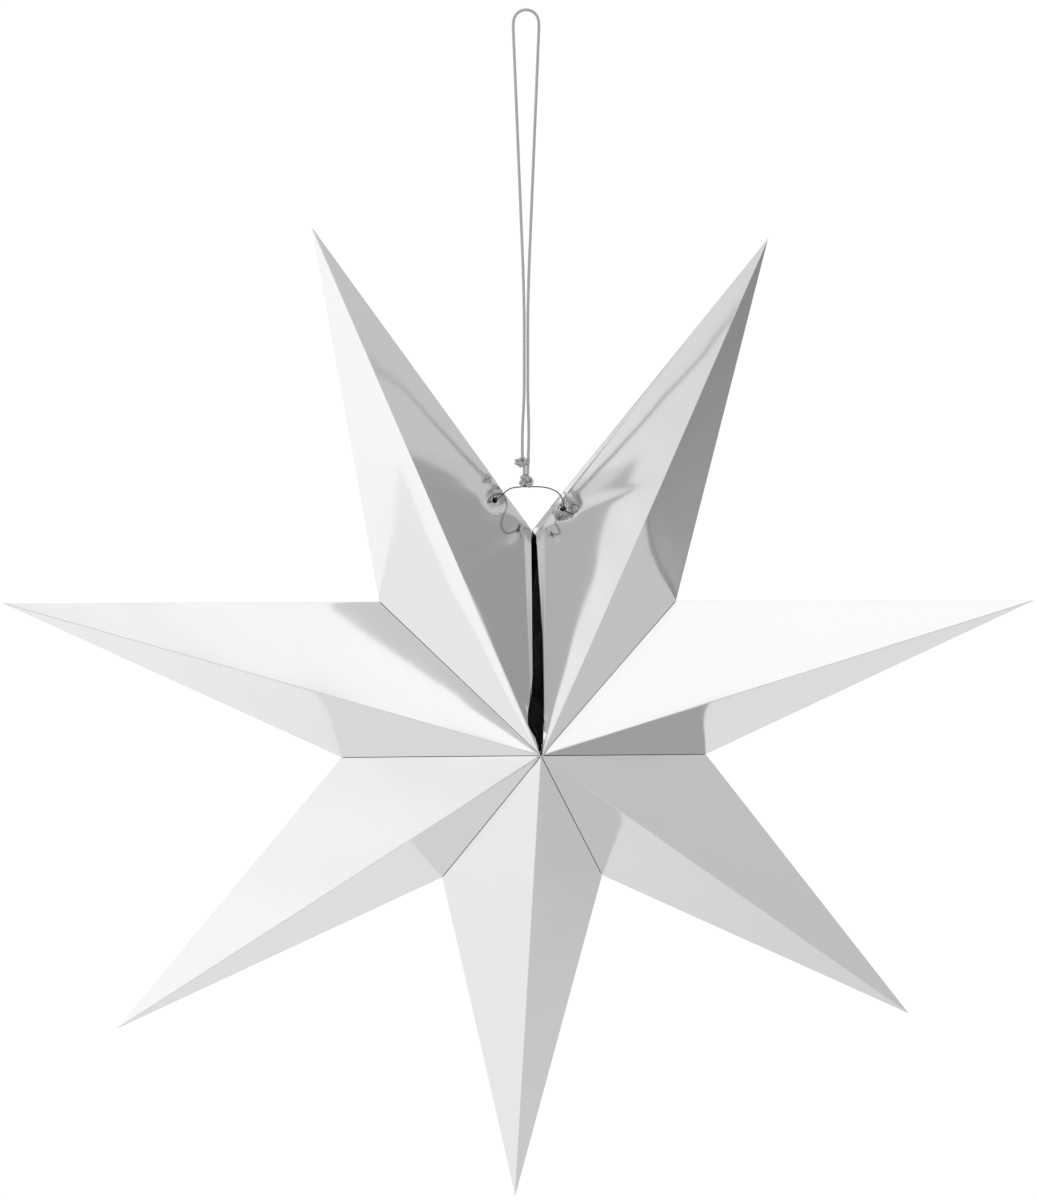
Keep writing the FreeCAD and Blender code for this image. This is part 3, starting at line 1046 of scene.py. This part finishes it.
# %% Floor
FLOOR_DROP = 0.55
FLOOR_HALF = 9.0
FLOOR_GLOW = 0.64
SEEN_GLOW = 0.38
floor_height = float(cad_box[0][2]) - FLOOR_DROP
floor_corners = np.array([[-1, -1, 0], [1, -1, 0], [1, 1, 0], [-1, 1, 0]]) * FLOOR_HALF
floor = mesh_object("floor", floor_corners + [0.0, 0.0, floor_height], [[0, 1, 2, 3]], smooth=False)
floor.visible_glossy = False
pale = bpy.data.materials.new("pale_floor")
paint = new_tree(pale)
floor_seen = paint.node("ShaderNodeLightPath", output="Is Camera Ray")
glow = paint.node("ShaderNodeEmission", {}, {"Color": (1.0, 1.0, 1.0, 1.0),
                                             "Strength": floor_seen * SEEN_GLOW + FLOOR_GLOW})
paint.node("ShaderNodeOutputMaterial", {}, {"Surface": glow})
floor.data.materials.append(pale)
print("floor", round(floor_height, 3), "m from the hanging point")

# %% [markdown]
# The world's brightness is worked out from the direction in which one looks. What the camera sees
# directly is plain white, and only the reflections see the patches.

# %% Room and lamps
BACKDROP = 1.02
PATCH_REACH = 0.16
ROOM = [
    ((-0.81, -0.05, 0.59), 0.66), ((-0.89, -0.06, 0.44), 1.03), ((-0.91, -0.39, 0.17), 0.90),
    ((-0.94, 0.09, -0.33), 1.0), ((-0.83, 0.14, -0.54), 0.85), ((-0.88, -0.30, -0.37), 0.775),
    ((0.21, -0.08, 0.97), 1.03), ((0.04, -0.08, 0.99), 1.02), ((-0.10, -0.24, 0.96), 0.60),
    ((-0.50, -0.37, 0.78), 0.47), ((0.35, -0.45, 0.82), 0.35), ((0.88, 0.18, 0.43), 0.57),
    ((0.95, 0.10, 0.28), 0.55), ((0.87, -0.33, 0.37), 0.60), ((0.87, 0.34, -0.34), 0.24),
    ((0.92, -0.10, -0.39), 0.38), ((0.77, 0.34, -0.53), 0.64), ((0.69, 0.13, -0.71), 0.555),
    ((0.43, 0.48, -0.76), 0.75), ((0.25, 0.47, -0.84), 0.775), ((-0.13, 0.38, -0.92), 0.66),
    ((-0.32, 0.40, -0.86), 0.90), ((0.12, 0.11, -0.99), 0.57), ((-0.30, -0.05, -0.95), 0.705),
    ((0.0, 1.0, 0.0), 1.0), ((0.0, -1.0, 0.0), 0.6)]
world = bpy.data.worlds.new("studio")
scene.world = world
sky_tree = new_tree(world)
look = sky_tree.node("ShaderNodeTexCoord", output="Generated")
brightness = 0.0
reach_sum = 0.0
for patch_direction, patch_brightness in ROOM:
    away = look.node("ShaderNodeVectorMath", {"operation": "DISTANCE"},
                     {0: look, 1: patch_direction}, 1)
    weight = away.maths("EXPONENT", away * away * (-1 / PATCH_REACH ** 2))
    brightness = weight * patch_brightness + brightness
    reach_sum = weight + reach_sum
sky = brightness.maths("DIVIDE", brightness, reach_sum)
seen = sky_tree.node("ShaderNodeLightPath", output="Is Camera Ray")
room = sky_tree.node("ShaderNodeBackground", {}, {
    "Color": (1.0, 1.0, 1.0, 1.0), "Strength": sky * (1 - seen) + seen * BACKDROP})
sky_tree.node("ShaderNodeOutputWorld", {}, {"Surface": room})
scene.view_settings.view_transform = "Standard"


def soft_lamp(name, place, size, power):
    """Square lamp that faces the star's centre."""
    data = bpy.data.lights.new(name, "AREA")
    data.size = size
    data.energy = power
    lamp = bpy.data.objects.new(name, data)
    lamp.location = CENTRE + np.array(place)
    lamp.visible_glossy = False
    lamp.rotation_euler = (-Vector(place)).to_track_quat("-Z", "Y").to_euler()
    scene.collection.objects.link(lamp)


soft_lamp("key", (-1.6, -1.8, 1.8), 1.2, 14.0)
soft_lamp("fill", (1.8, -2.0, 0.9), 1.4, 5.0)
print("patches in the room", len(ROOM))
